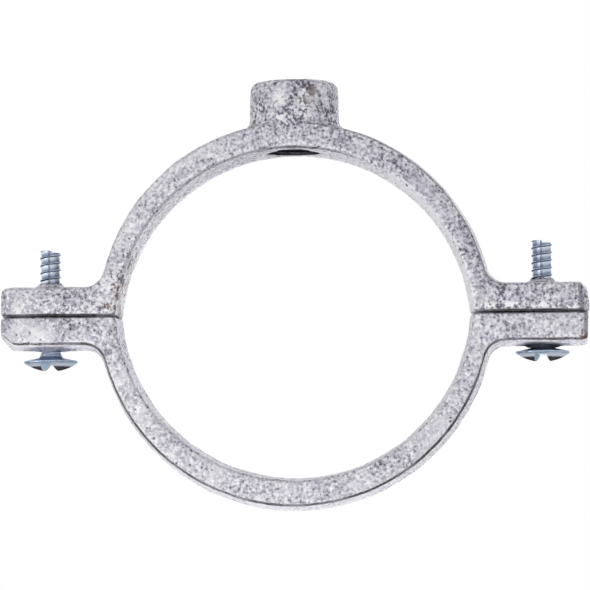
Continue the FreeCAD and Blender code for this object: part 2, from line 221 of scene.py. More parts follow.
def smooth_shade(mesh, angle=180):
    mesh.polygons.foreach_set("use_smooth", [True] * len(mesh.polygons))
    if angle < 180:
        mesh.set_sharp_from_angle(angle=math.radians(angle))


def drop(obj):
    bpy.data.objects.remove(obj)


def cut_with(obj, cutter):
    modifier = obj.modifiers.new("cut", "BOOLEAN")
    modifier.operation = "DIFFERENCE"
    modifier.solver = "EXACT"
    modifier.object = cutter


# Geometry Nodes: the skin of a casting

def cast_skin_tree():
    """Lumps, dimples and grit that stand along the normals of a smooth casting."""
    group, make, start, end = new_group(
        "cast_skin", "GeometryNodeTree",
        [("Casting", "Geometry"), ("Lump Size", "Float"), ("Lump Height", "Float"),
         ("Dimple Size", "Float"), ("Dimple Height", "Float"), ("Grit Size", "Float"),
         ("Grit Height", "Float"), ("Seed", "Float"), ("Finish", "Material")],
        [("Casting", "Geometry")])
    place = make.add("GeometryNodeInputPosition").outputs[0]
    heights = []
    for title, detail in (("Lump", 1.0), ("Dimple", 1.0), ("Grit", 2.0)):
        scale = make.calc("DIVIDE", 1.0, start[title + " Size"])
        noise = make.add("ShaderNodeTexNoise",
                         {"Vector": place, "W": start["Seed"], "Scale": scale, "Detail": detail},
                         noise_dimensions="4D")
        swing = make.calc("SUBTRACT", noise.outputs["Fac"], 0.5)
        heights.append(make.calc("MULTIPLY", swing, start[title + " Height"]))
    total = make.calc("ADD", make.calc("ADD", heights[0], heights[1]), heights[2])
    twice = make.calc("MULTIPLY", total, 2.0)
    normal = make.add("GeometryNodeInputNormal").outputs[0]
    offset = make.add("ShaderNodeVectorMath", {0: normal, "Scale": twice}, operation="SCALE").outputs[0]
    moved = make.add("GeometryNodeSetPosition", {"Geometry": start["Casting"], "Offset": offset})
    real = make.add("GeometryNodeRealizeInstances", {0: moved.outputs[0]})
    done = make.add("GeometryNodeSetMaterial", {"Geometry": real.outputs[0], "Material": start["Finish"]})
    make.tree.links.new(done.outputs[0], end[0])
    return group


# Geometry Nodes: a turned piece with a thread

def threaded_turning_tree():
    """An outline of radius and height turned about the upright axis, with a thread and a flute cut in it."""
    group, make, start, end = new_group(
        "threaded_turning", "GeometryNodeTree",
        [("Outline", "Geometry"), ("Around", "Int"), ("Along", "Int"), ("Inside", "Bool"),
         ("Root Radius", "Float"), ("Crest Radius", "Float"), ("Pitch", "Float"),
         ("Base Share", "Float"), ("Crest Share", "Float"), ("Start", "Float"), ("Fade", "Float"),
         ("Flute Radius", "Float"), ("Flute Start", "Float"), ("Flute Turn", "Float"),
         ("Finish", "Material")],
        [("Turning", "Geometry")])
    columns = make.calc("ADD", start["Around"], 1)
    grid = make.add("GeometryNodeMeshGrid", {"Size X": 1.0, "Size Y": 1.0, "Vertices X": columns,
                                             "Vertices Y": start["Along"]})
    here = make.add("ShaderNodeSeparateXYZ", {0: make.add("GeometryNodeInputPosition").outputs[0]}).outputs
    angle = make.calc("MULTIPLY", make.calc("ADD", here["X"], 0.5), TAU)
    share = make.calc("ADD", here["Y"], 0.5)
    curve = make.add("GeometryNodeMeshToCurve", {0: start["Outline"]}).outputs[0]
    sample = make.add("GeometryNodeSampleCurve", {"Curves": curve, "Factor": share}, mode="FACTOR")
    profile = make.add("ShaderNodeSeparateXYZ", {0: sample.outputs["Position"]}).outputs
    plain, height = profile["X"], profile["Z"]

    turns = make.calc("SUBTRACT", make.calc("DIVIDE", height, start["Pitch"]),
                      make.calc("DIVIDE", angle, TAU))
    sweep = make.calc("MULTIPLY", make.calc("FRACT", turns), 2.0)
    wave = make.calc("ABSOLUTE", make.calc("SUBTRACT", sweep, 1.0))
    flank = make.calc("DIVIDE", make.calc("SUBTRACT", start["Base Share"], wave),
                      make.calc("SUBTRACT", start["Base Share"], start["Crest Share"]), clamp=True)
    depth = make.calc("SUBTRACT", start["Crest Radius"], start["Root Radius"])
    thread = make.calc("MULTIPLY_ADD", flank, depth, start["Root Radius"])
    cut = make.add("GeometryNodeSwitch", {"Switch": start["Inside"],
                                          "False": make.calc("MINIMUM", plain, thread),
                                          "True": make.calc("MAXIMUM", plain, thread)},
                   input_type="FLOAT").outputs[0]
    fade = make.ramp(height, start["Start"], make.calc("ADD", start["Start"], start["Fade"]))
    threaded = make.between(fade, plain, cut)

    run_in = make.ramp(height, start["Flute Start"],
                       make.calc("ADD", start["Flute Start"], start["Fade"]))
    groove = make.calc("MULTIPLY", start["Flute Radius"], run_in)
    off = make.calc("SUBTRACT", angle, start["Flute Turn"])
    across = make.calc("MULTIPLY", start["Crest Radius"], make.calc("SINE", off))
    ahead = make.calc("MULTIPLY", start["Crest Radius"], make.calc("COSINE", off))
    square = make.calc("SUBTRACT", make.calc("MULTIPLY", groove, groove),
                       make.calc("MULTIPLY", across, across))
    wall = make.calc("SUBTRACT", ahead, make.calc("SQRT", make.calc("MAXIMUM", square, 0.0)))
    in_flute = make.calc("MULTIPLY", make.calc("GREATER_THAN", square, 0.0),
                         make.calc("GREATER_THAN", ahead, 0.0))
    lower = make.calc("MINIMUM", threaded, wall)
    radius = make.between(in_flute, threaded, lower)

    place = make.add("ShaderNodeCombineXYZ", {
        "X": make.calc("MULTIPLY", radius, make.calc("COSINE", angle)),
        "Y": make.calc("MULTIPLY", radius, make.calc("SINE", angle)), "Z": height}).outputs[0]
    moved = make.add("GeometryNodeSetPosition", {"Geometry": grid.outputs["Mesh"], "Position": place})
    merged = make.add("GeometryNodeMergeByDistance", {"Geometry": moved.outputs[0], "Distance": JOIN_TURNED})
    real = make.add("GeometryNodeRealizeInstances", {0: merged.outputs[0]})
    done = make.add("GeometryNodeSetMaterial", {"Geometry": real.outputs[0], "Material": start["Finish"]})
    make.tree.links.new(done.outputs[0], end[0])
    return group


# Effects that the finishes share

NOISE_DETAIL, NOISE_ROUGHNESS = 3.0, 0.55
CLOUD_SEED, GRAIN_SEED, BLOTCH_SEED = 3.1, 7.7, 5.3
# Pits: least and most radius, the share of it that is floor, raggedness and depth
PIT_LEAST, PIT_MOST, PIT_FLOOR, PIT_RAGGED, PIT_DEPTH = 0.16, 0.42, 0.35, 0.5, 0.5
CLOUD_HEIGHT = 0.4
# Spots: raggedness, and where the full spot ends and the last trace of it
SPOT_RAGGED, SPOT_CORE, SPOT_END = 2.4, 0.2, 1.2


def mottle_group():
    """Cloudy tone, fine grain and sparse pits of a zinc coat."""
    group, make, start, end = new_group(
        "zinc_mottle", "ShaderNodeTree",
        [("Vector", "Vector"), ("Cloud Size", "Float", 9 * MM), ("Grain Size", "Float", 0.8 * MM),
         ("Pit Size", "Float", 1.5 * MM), ("Pit Share", "Float", 0.45)],
        [("Cloud", "Float"), ("Grain", "Float"), ("Pits", "Float"), ("Height", "Float")])

    def noise(size, seed):
        node = make.add("ShaderNodeTexNoise",
                        {"Vector": start["Vector"], "W": seed, "Scale": make.calc("DIVIDE", 1.0, size),
                         "Detail": NOISE_DETAIL, "Roughness": NOISE_ROUGHNESS}, noise_dimensions="4D")
        return node.outputs["Fac"]

    cloud = noise(start["Cloud Size"], CLOUD_SEED)
    grain = noise(start["Grain Size"], GRAIN_SEED)
    cells = make.add("ShaderNodeTexVoronoi",
                     {"Vector": start["Vector"], "Scale": make.calc("DIVIDE", 1.0, start["Pit Size"]),
                      "Randomness": 1.0}, voronoi_dimensions="3D", feature="F1")
    chance = make.add("ShaderNodeSeparateColor", {0: cells.outputs["Color"]}).outputs
    present = make.calc("LESS_THAN", chance[0], start["Pit Share"])
    reach = make.ramp(chance[1], 0.0, 1.0, PIT_LEAST, PIT_MOST, smooth=False)
    ragged = make.swing(grain, PIT_RAGGED, cells.outputs["Distance"])
    hole = make.ramp(ragged, make.calc("MULTIPLY", reach, PIT_FLOOR), reach, 1.0, 0.0)
    pits = make.calc("MULTIPLY", hole, present)
    height = make.calc("SUBTRACT", make.calc("MULTIPLY_ADD", cloud, CLOUD_HEIGHT, grain),
                       make.calc("MULTIPLY", pits, PIT_DEPTH))
    for title, value in (("Cloud", cloud), ("Grain", grain), ("Pits", pits), ("Height", height)):
        make.tree.links.new(value, end[title])
    return group


def spot_group():
    """A ragged spot round one point, such as a bloom of rust."""
    group, make, start, end = new_group(
        "ragged_spot", "ShaderNodeTree",
        [("Vector", "Vector"), ("Centre", "Vector"), ("Radius", "Float", 2 * MM),
         ("Grain", "Float", 0.5)],
        [("Mask", "Float")])
    gap = make.add("ShaderNodeVectorMath", {0: start["Vector"], 1: start["Centre"]}, operation="DISTANCE")
    share = make.calc("DIVIDE", gap.outputs["Value"], start["Radius"])
    ragged = make.swing(start["Grain"], SPOT_RAGGED, share)
    make.tree.links.new(make.ramp(ragged, SPOT_CORE, SPOT_END, 1.0, 0.0), end["Mask"])
    return group


MOTTLE = mottle_group()
SPOT = spot_group()


def new_material(name):
    material = bpy.data.materials.new(name)
    material.use_nodes = True
    material.node_tree.nodes.clear()
    make = Maker(material.node_tree)
    shader = make.add("ShaderNodeBsdfPrincipled")
    output = make.add("ShaderNodeOutputMaterial", {"Surface": shader.outputs[0]})
    output.target = "ALL"
    place = make.add("ShaderNodeTexCoord").outputs["Object"]
    return material, make, shader, place


def mottle_nodes(make, place, sizes=()):
    """The mottle in a material: its clouds, grain, pits and height."""
    mottle = make.add("ShaderNodeGroup", {}, node_tree=MOTTLE)
    make.feed(mottle, {"Vector": place})
    for title, value in sizes:
        mottle.inputs[title].default_value = value
    return mottle.outputs


def bump_normal(make, shader, height, strength, distance):
    bump = make.add("ShaderNodeBump", {"Strength": strength, "Distance": distance, "Height": height})
    make.feed(shader, {"Normal": bump.outputs[0]})


def colour_ramp(make, value, stops):
    node = make.add("ShaderNodeValToRGB", {0: value})
    elements = node.color_ramp.elements
    while len(elements) > 1:
        elements.remove(elements[-1])
    for number, (position, colour) in enumerate(stops):
        element = elements[0] if number == 0 else elements.new(position)
        element.position = position
        element.color = (*colour, 1)
    return node.outputs["Color"]


def blend_colour(make, share, first, second, kind="MIX"):
    node = make.add("ShaderNodeMix", {0: share}, data_type="RGBA", blend_type=kind)
    for key, value in ((6, first), (7, second)):
        if isinstance(value, bpy.types.NodeSocket):
            make.tree.links.new(value, node.inputs[key])
        else:
            node.inputs[key].default_value = (*value, 1)
    return node.outputs[2]


# The galvanised coat's colours by its tone, and what lies on it
COAT_COLOURS = [
    (0.33, (0.13, 0.13, 0.165)), (0.41, (0.33, 0.325, 0.385)), (0.48, (0.53, 0.52, 0.59)),
    (0.56, (0.67, 0.66, 0.725)), (0.65, (0.84, 0.83, 0.865)), (0.73, (0.95, 0.945, 0.96)),
]
COAT_PIT, PIT_STRENGTH, FAINT_PIT_STRENGTH = (0.09, 0.09, 0.125), 0.8, 0.6
# Painted highlight for the face edges, and painted shade for the dark edges
PAINTED_HIGHLIGHT, PAINTED_EDGE_SHADE = (0.94, 0.93, 0.94), (0.05, 0.043, 0.048)
# Painted shadow round the screws, and how strongly it is painted
PAINTED_SCREW_SHADOW, PAINTED_SCREW_SHADOW_STRENGTH = (0.035, 0.04, 0.055), 0.93
COAT_METAL, COAT_SPECULAR, COAT_SHEEN = 0.3, 0.12, (0.78, 0.78, 0.82, 1)
# Bumps: strength and depth
COAT_BUMP, TAPPED_BUMP, PLATE_BUMP = (0.55, 0.12 * MM), (0.3, 0.05 * MM), (0.3, 0.04 * MM)
# Ramps: where a value starts and ends the change, and the levels before and after it
COAT_ROUGHNESS, PAINTED_SHADE_ROUGHNESS = (0.3, 0.7, 0.5, 0.34), 0.45
SPOT_CLOUDS, CALM_CLOUDS = (0.75, 1.25, 0.1, 0.9), (0.5, 0.68, 0.0, 0.6)
HIGHLIGHT_BREAKUP, BROKEN, BROKEN_GRAIN = (0.98, 1.12, 0.0, 0.95), (0.6, 1.05, 0.4, 0.95), 0.8
EDGE, EDGE_RAGGED, EDGE_LEAST = (0.2, 0.7), 1.6, 0.02
# How much of the tone is cloud, the speckle's contrast, and how far the painted light shifts the tone
CLOUD_SHARE, SPECKLE, PAINTED_LIGHT_SWING = 0.14, 1.15, 0.3
BLOTCH_SIZE, BLOTCH_DETAIL, BLOTCH_SWING = 2.6 * MM, 1.5, 0.3
EARS_FROM, BOSS_FROM = (43 * MM, 50 * MM), (47 * MM, 52 * MM)
# Calm places: strength where marked, and the tone there
CALM_MARKED, CALM_TONE, CALM_SWING = 0.75, 0.52, 0.06
RUST, SHADE, BROWN = (0.17, 0.075, 0.045), (0.22, 0.19, 0.20), (0.52, 0.45, 0.40)
HOW = {RUST: "MIX", SHADE: "MULTIPLY", BROWN: "MULTIPLY"}
# Lighter and darker places of the coat, some of the darker ones painted shade (at the boss's sides and foot
# and on the ears' end flats): centre and radius in millimetres, and how much lighter
PATCHES_AND_PAINTED_SHADE = [
    ((-69.0, -11.5, -4.6), 4.8, 1.5), ((-63.5, -11.5, -5.6), 3.6, 1.3), ((-69.0, -11.5, 2.6), 3.0, 0.55),
    ((70.6, -11.5, -3.6), 3.0, 0.6), ((69.4, -11.5, 4.2), 3.0, 0.4), ((-3.8, -10.8, 54.9), 2.8, 0.9),
    ((-1.9, -11.0, 57.4), 1.8, 0.7), ((4.6, -10.8, 54.3), 2.0, 1.0), ((8.3, -8.0, 56.2), 1.8, 0.8),
    ((6.0, -9.8, 57.8), 1.5, 0.6), ((-41.5, -11.5, -25.5), 3.6, 0.55), ((-32.0, -11.5, -36.5), 3.4, 0.55),
    ((-22.0, -11.5, -43.5), 2.8, 0.5), ((46.0, -11.5, 4.0), 3.2, 0.5), ((36.0, -11.5, -31.0), 2.6, 0.5),
    ((-11.0, -4.0, 54.0), 5.0, -0.5), ((-9.6, -7.5, 49.8), 3.6, -0.9), ((10.2, -6.0, 50.0), 3.6, -0.9),
    ((-0.6, -11.2, 51.0), 3.0, -1.0), ((1.0, -11.2, 57.2), 2.6, -0.8), ((3.0, -11.0, 51.8), 2.0, -0.6),
    ((7.6, -8.6, 52.6), 2.2, -0.8), ((10.6, -4.0, 56.5), 3.0, -0.6), ((-58.0, -11.5, -2.6), 3.6, -0.45),
    ((-49.0, -11.5, 5.0), 3.0, -0.4), ((52.0, -11.5, 3.6), 3.4, -0.4), ((-60.0, 11.5, 4.0), 3.4, 0.6),
    ((30.0, 11.5, 36.0), 3.2, 0.6), ((4.0, 10.8, 55.0), 2.8, 0.8), ((64.0, 11.5, -4.0), 3.6, 0.7),
    ((-38.0, 11.5, -30.0), 3.4, 0.5), ((-5.0, 10.5, 52.0), 3.0, -0.8), ((50.0, 11.5, -4.0), 3.6, -0.5),
    ((9.5, 7.0, 50.5), 3.4, -0.8), ((-73.6, -10.0, -2.4), 2.6, -1.0), ((73.2, -10.8, 3.0), 2.2, -0.9),
]
PATCH_SWING = 0.09
# Brown, shaded and rusty places: centre and radius in millimetres, strength, colour
STAINS = [
    ((2.6, -11.0, 54.6), 1.8, 0.7, BROWN), ((5.6, -10.0, 56.2), 1.9, 0.8, BROWN),
    ((-44.0, -8.0, 8.6), 3.0, 0.9, SHADE), ((-42.9, -7.0, 13.2), 3.0, 0.8, SHADE),
    ((-44.5, -7.0, 2.6), 3.0, 0.9, BROWN), ((-44.0, 0.0, 9.0), 6.0, 0.6, BROWN),
    ((-45.9, -11.5, 2.2), 1.5, 0.85, RUST), ((-45.7, -11.3, 7.2), 1.3, 0.85, RUST),
    ((-44.9, -10.6, 4.8), 1.6, 0.8, RUST), ((72.9, -11.3, -6.9), 1.3, 0.8, RUST),
    ((66.0, 11.0, -6.8), 1.8, 0.7, RUST), ((-45.6, 11.3, -1.6), 1.6, 0.7, RUST),
]


def galvanised_iron():
    """Rough hot-dip zinc on a sand casting: lilac grey, speckled, pitted, with a little rust."""
    material, make, shader, place = new_material("galvanised_iron")
    cloud, grain, pits, height = mottle_nodes(make, place)
    blotch = make.add("ShaderNodeTexNoise", {"Vector": place, "W": BLOTCH_SEED, "Scale": 1 / BLOTCH_SIZE,
                                             "Detail": BLOTCH_DETAIL}, noise_dimensions="4D").outputs["Fac"]
    spread = make.add("ShaderNodeSeparateXYZ", {0: place}).outputs
    ears = make.ramp(make.calc("ABSOLUTE", spread["X"]), *EARS_FROM)
    blotchy = make.calc("MAXIMUM", ears, make.ramp(spread["Z"], *BOSS_FROM))
    cloudy = make.ramp(make.calc("ADD", grain, blotch), *SPOT_CLOUDS, smooth=False)

    def spot(centre, radius):
        stain = make.add("ShaderNodeGroup", {}, node_tree=SPOT)
        make.feed(stain, {"Vector": place, "Grain": cloudy})
        stain.inputs["Centre"].default_value = [value * MM for value in centre]
        stain.inputs["Radius"].default_value = radius * MM
        return stain.outputs["Mask"]

    # Tone: speckle, blotches on the ears and the boss, calm places, patches partly of painted shade, and the
    # shift of painted light
    fine = make.calc("MULTIPLY_ADD", cloud, CLOUD_SHARE, make.calc("MULTIPLY", grain, 1 - CLOUD_SHARE))
    tone = make.swing(blotch, make.calc("MULTIPLY", blotchy, BLOTCH_SWING), make.swing(fine, SPECKLE, 0.5))
    in_clouds = make.calc("MULTIPLY", make.ramp(cloud, *CALM_CLOUDS), make.calc("SUBTRACT", 1.0, blotchy))
    calm = make.calc("MAXIMUM", make.calc("MULTIPLY", make.mark("calm"), CALM_MARKED), in_clouds)
    tone = make.between(calm, tone, make.calc("MULTIPLY_ADD", blotch, CALM_SWING, CALM_TONE))
    for centre, radius, lighter in PATCHES_AND_PAINTED_SHADE:
        tone = make.calc("MULTIPLY_ADD", spot(centre, radius), lighter * PATCH_SWING, tone)
    tone = make.swing(make.mark("painted_light"), PAINTED_LIGHT_SWING, tone)

    # Colour: the coat, then its pits, stains, painted bright lines, painted dark edges and painted shadow
    # round the screws
    base = colour_ramp(make, tone, COAT_COLOURS)
    base = blend_colour(make, make.calc("MULTIPLY", pits, PIT_STRENGTH), base, COAT_PIT)
    for centre, radius, strength, colour in STAINS:
        share = make.calc("MULTIPLY", spot(centre, radius), strength)
        base = blend_colour(make, share, base, colour, HOW[colour])
    # Painted highlight along the face edges and above the split, broken up by blotch and grain
    highlight_breakup = make.ramp(make.calc("ADD", blotch, grain), *HIGHLIGHT_BREAKUP)
    base = blend_colour(make, make.calc("MULTIPLY", make.mark("painted_highlight"), highlight_breakup), base, PAINTED_HIGHLIGHT)
    # Painted shade: dark lines on the edges, broken up by cloud and grain
    rim = make.mark("rim")
    broken = make.ramp(make.calc("ADD", cloud, make.calc("MULTIPLY", grain, BROKEN_GRAIN)), *BROKEN)
    edge = make.calc("MULTIPLY", make.ramp(make.swing(grain, EDGE_RAGGED, rim), *EDGE),
                     make.calc("GREATER_THAN", rim, EDGE_LEAST))
    base = blend_colour(make, make.calc("MULTIPLY", edge, broken), base, PAINTED_EDGE_SHADE)
    # Painted shadow round the screws on the ears' outer sides
    painted_screw_shadow = make.mark("painted_screw_shadow")
    base = blend_colour(make, make.calc("MULTIPLY", painted_screw_shadow, PAINTED_SCREW_SHADOW_STRENGTH), base, PAINTED_SCREW_SHADOW)

    # The painted dark edges and the painted shadow round the screws are matt and not metallic
    painted_shade = make.calc("MAXIMUM", edge, painted_screw_shadow)
    rough = make.ramp(grain, *COAT_ROUGHNESS)
    make.feed(shader, {"Base Color": base,
                       "Metallic": make.ramp(painted_shade, 0.0, 1.0, COAT_METAL, 0.0, smooth=False),
                       "Roughness": make.calc("MULTIPLY_ADD", painted_shade, PAINTED_SHADE_ROUGHNESS, rough, clamp=True)})
    shader.inputs["Specular IOR Level"].default_value = COAT_SPECULAR
    shader.inputs["Specular Tint"].default_value = COAT_SHEEN
    bump_normal(make, shader, height, *COAT_BUMP)
    return material


# The tapped thread's colours by its grain, painted dark as the shade inside the bore, and its pits
TAPPED_SHADE_COLOURS, TAPPED_PIT = [(0.35, (0.035, 0.035, 0.05)), (0.6, (0.10, 0.10, 0.13))], (0.02, 0.02, 0.025)
TAPPED_METAL, TAPPED_ROUGHNESS = 0.8, (0.3, 0.7, 0.3, 0.45)


def shaded_bore_finish():
    """Metal of the tapped thread, painted dark as the shade inside the bore."""
    material, make, shader, place = new_material("tapped_thread")
    cloud, grain, pits, height = mottle_nodes(make, place)
    base = colour_ramp(make, grain, TAPPED_SHADE_COLOURS)
    base = blend_colour(make, make.calc("MULTIPLY", pits, FAINT_PIT_STRENGTH), base, TAPPED_PIT)
    make.feed(shader, {"Base Color": base, "Roughness": make.ramp(cloud, *TAPPED_ROUGHNESS)})
    shader.inputs["Metallic"].default_value = TAPPED_METAL
    bump_normal(make, shader, height, *TAPPED_BUMP)
    return material


# The zinc plate's mottle, its colours by its tone, its pits, its painted highlight and shade bands, and its
# painted shade on dulled places
PLATE_SIZES = [("Cloud Size", 3 * MM), ("Grain Size", 0.35 * MM), ("Pit Size", 1.1 * MM), ("Pit Share", 0.12)]
PLATE_COLOURS = [(0.38, (0.25, 0.32, 0.44)), (0.5, (0.44, 0.52, 0.67)), (0.62, (0.62, 0.71, 0.85))]
PLATE_PIT, PAINTED_SHADE_ZINC, SLOT_WALL = (0.10, 0.11, 0.13), (0.034, 0.03, 0.035), (0.47, 0.59, 0.69)
PAINTED_BAND_HIGHLIGHT, PAINTED_BAND_SHADE = (0.85, 0.92, 0.99), (0.035, 0.055, 0.085)
PLATE_GRAIN_SHARE = 0.35
PLATE_SHEEN = (0.70, 0.75, 0.82, 1)
PLATE_ROUGHNESS, DULL_ROUGHNESS = (0.3, 0.7, 0.2, 0.34), 0.7
IN_PAINTED_HIGHLIGHT, IN_PAINTED_SHADE = (0.5, 1.0, 0.0, 0.75), (0.5, 0.0, 0.0, 0.85)
PATCHY_SHADE, MATT_METAL, NECK_MATT = (0.3, 0.65, 1.1, 0.94), (0.0, 0.7, 1.0, 0.0), 0.5


def zinc_plate():
    """Bright bluish zinc on a cold-formed screw."""
    material, make, shader, place = new_material("zinc_plated_steel")
    cloud, grain, pits, height = mottle_nodes(make, place, PLATE_SIZES)
    tone = make.calc("ADD", make.calc("MULTIPLY", grain, PLATE_GRAIN_SHARE),
                     make.calc("MULTIPLY", cloud, 1 - PLATE_GRAIN_SHARE))
    base = colour_ramp(make, tone, PLATE_COLOURS)
    base = blend_colour(make, make.calc("MULTIPLY", pits, FAINT_PIT_STRENGTH), base, PLATE_PIT)
    # Painted highlight and painted shade in bands on the thread, the head and the neck
    painted_bands = make.mark("painted_bands")
    base = blend_colour(make, make.ramp(painted_bands, *IN_PAINTED_HIGHLIGHT, smooth=False), base, PAINTED_BAND_HIGHLIGHT)
    base = blend_colour(make, make.ramp(painted_bands, *IN_PAINTED_SHADE, smooth=False), base, PAINTED_BAND_SHADE)
    # Painted shade, with duller metal, on the head's lower dome, in the flute and on the shank beyond it
    dull_and_painted_shade, slot, neck = make.mark("dull_and_painted_shade"), make.mark("slot"), make.mark("neck")
    patchy_shade = make.calc("MULTIPLY", dull_and_painted_shade, make.ramp(tone, *PATCHY_SHADE, smooth=False), clamp=True)
    base = blend_colour(make, patchy_shade, base, PAINTED_SHADE_ZINC)
    base = blend_colour(make, slot, base, SLOT_WALL)
    matt = make.calc("MAXIMUM", make.calc("MAXIMUM", dull_and_painted_shade, slot), make.calc("MULTIPLY", neck, NECK_MATT))
    gloss = make.ramp(cloud, *PLATE_ROUGHNESS)
    make.feed(shader, {"Base Color": base, "Metallic": make.ramp(matt, *MATT_METAL, smooth=False),
                       "Roughness": make.calc("MULTIPLY_ADD", dull_and_painted_shade, DULL_ROUGHNESS, gloss, clamp=True)})
    shader.inputs["Specular IOR Level"].default_value = 0.0
    shader.inputs["Specular Tint"].default_value = PLATE_SHEEN
    bump_normal(make, shader, height, *PLATE_BUMP)
    return material


GALVANISED = galvanised_iron()
ZINC = zinc_plate()
TAPPED = shaded_bore_finish()
CAST_SKIN = cast_skin_tree()
THREADED = threaded_turning_tree()


# Castings

def merged_copy(node, name):
    """A piece that starts as a node's solid, with its loose triangles joined."""
    obj = put_in_scene(name, frame["nodes"][node].data.copy())
    obj.data.materials.clear()
    clean_mesh(obj.data, JOIN_SOLID)
    return obj


def upright_cylinder(name, radius, low, high, sides=96):
    bm = bmesh.new()
    bmesh.ops.create_cone(bm, cap_ends=True, segments=sides, radius1=radius, radius2=radius, depth=high - low)
    bmesh.ops.translate(bm, verts=bm.verts, vec=(0, 0, (low + high) / 2))
    mesh = bpy.data.meshes.new(name)
    bm.to_mesh(mesh)
    bm.free()
    return put_in_scene(name, mesh)


# Flats on the ears' ends: which half, a point and the way it faces, in millimetres
EAR_FACETS = [
    ("upper", (71.9, -11.5, 0), (0.76, -0.65, 0.05)),
    ("upper", (73.3, -11.5, 5.5), (0.807, -0.084, 0.585)),
    ("upper", (74.4, 0, 0), (1.0, 0.0, 0.06)),
    ("upper", (-72.6, -11.5, 0), (-0.72, -0.69, 0.0)),
    ("upper", (-73.8, 11.5, 0), (-0.78, 0.62, 0.08)),
    ("lower", (-72.1, -11.5, 0), (-0.75, -0.66, 0.04)),
    ("lower", (-73.0, -11.5, -5.45), (-0.635, -0.084, -0.768)),
    ("lower", (74.3, 0, 0), (1.0, 0.0, -0.05)),
    ("lower", (73.0, -11.5, 0), (0.80, -0.60, 0.0)),
    ("lower", (73.0, 11.5, 0), (0.72, 0.69, -0.06)),
]
EAR_FACETS_FROM = 55 * MM


def flatten_ear_ends(places, half):
    """Flattens the corners of one half's ear ends."""
    for name, point, direction in EAR_FACETS:
        if name != half:
            continue
        normal = np.array(Vector(direction).normalized())
        beyond = (places - np.array(point) * MM) @ normal
        beyond[places[:, 0] * math.copysign(1, direction[0]) < EAR_FACETS_FROM] = 0
        places -= np.outer(np.maximum(beyond, 0), normal)


def flatten_left_lip(places):
    """Wears the lip under the left ear down to a trace."""
    near = np.hypot(places[:, 0] + SCREW_AXIS, places[:, 1]) < LIP_REACH
    past = np.minimum(places[:, 2] - EAR_UNDERSIDE, 0)
    places[:, 2] -= np.where(near, LIP_WEAR * past, 0)


def point_normals(mesh):
    normals = np.zeros(len(mesh.vertices) * 3, np.float32)
    mesh.vertex_normals.foreach_get("vector", normals)
    return normals.reshape(-1, 3)


def point_places(mesh):
    places = np.zeros(len(mesh.vertices) * 3, np.float32)
    mesh.vertices.foreach_get("co", places)
    return places.reshape(-1, 3).astype(float)


def mark_points(mesh, name, values):
    mark = mesh.attributes.new(name, "FLOAT", "POINT")
    mark.data.foreach_set("value", values.astype(np.float32))


def rise(values, start, reach):
    """0 up to a start, and from there up to 1 over a reach."""
    return np.clip((values - start) / reach, 0, 1)


def fall(values, end, reach):
    """0 from an end on, and 1 until a reach before it."""
    return np.clip((end - values) / reach, 0, 1)


def along(stops, values):
    return np.interp(values, *zip(*stops))


# Painted light: how much lighter the flat faces are painted, from left to right in millimetres
FACE_PAINTED_LIGHT = {"upper": [(-75, 0.06), (-55, 0.08), (-44, 0.2), (-12, 0.16), (12, -0.02), (30, -0.14),
                       (46, -0.08), (75, -0.03)],
             "lower": [(-75, 0.0), (-54, 0.04), (-44, 0.2), (-10, 0.14), (44, 0.1), (75, 0.13)]}
# Painted light: how much lighter the bore's right and left, the surfaces that look down and the calm places
# are painted
RIGHT_PAINTED_LIGHT, LEFT_PAINTED_LIGHT, UNDER_PAINTED_LIGHT, CALM_PAINTED_LIGHT = 0.4, 0.2, 0.2, 0.12
# Painted shade: how dark the line round the bore is painted, from left to right in millimetres
BORE_LINE = [(-46, 0.30), (-30, 0.36), (-12, 0.42), (0, 0.62), (12, 0.5), (20, 0.1), (26, 0.02)]
# Painted shade: how dark the lines are painted outside on the right, at the split and on the lower half's
# seam
RIGHT_LINE, SPLIT_LINE, SEAM_LINE = 0.36, 0.5, 0.6
# How far from each screw's axis painted shadow lies on the ears' outer sides, on the left and the right
PAINTED_SCREW_SHADOW_REACH = {"upper": {-1: 3.2, 1: 3.3}, "lower": {-1: 2.6, 1: 5.3}}
# The ring's outer wall starts here, and the boss reaches this far from its axis and down
RING_EDGE, BOSS_REACH, BOSS_FOOT = 50, 17, 46
# How far out from the middle the painted dark right line, the painted dark split line and the painted
# highlight band above it start
RIGHT_LINE_FROM, SPLIT_LINE_FROM, SPLIT_BAND_FROM = 12, 44, 47
# The calm part of the upper left face: start and reach outwards, to the left and upwards
CALM_OUT, CALM_LEFT, CALM_UP = (47, 2.5), (6, 14), (12, 10)


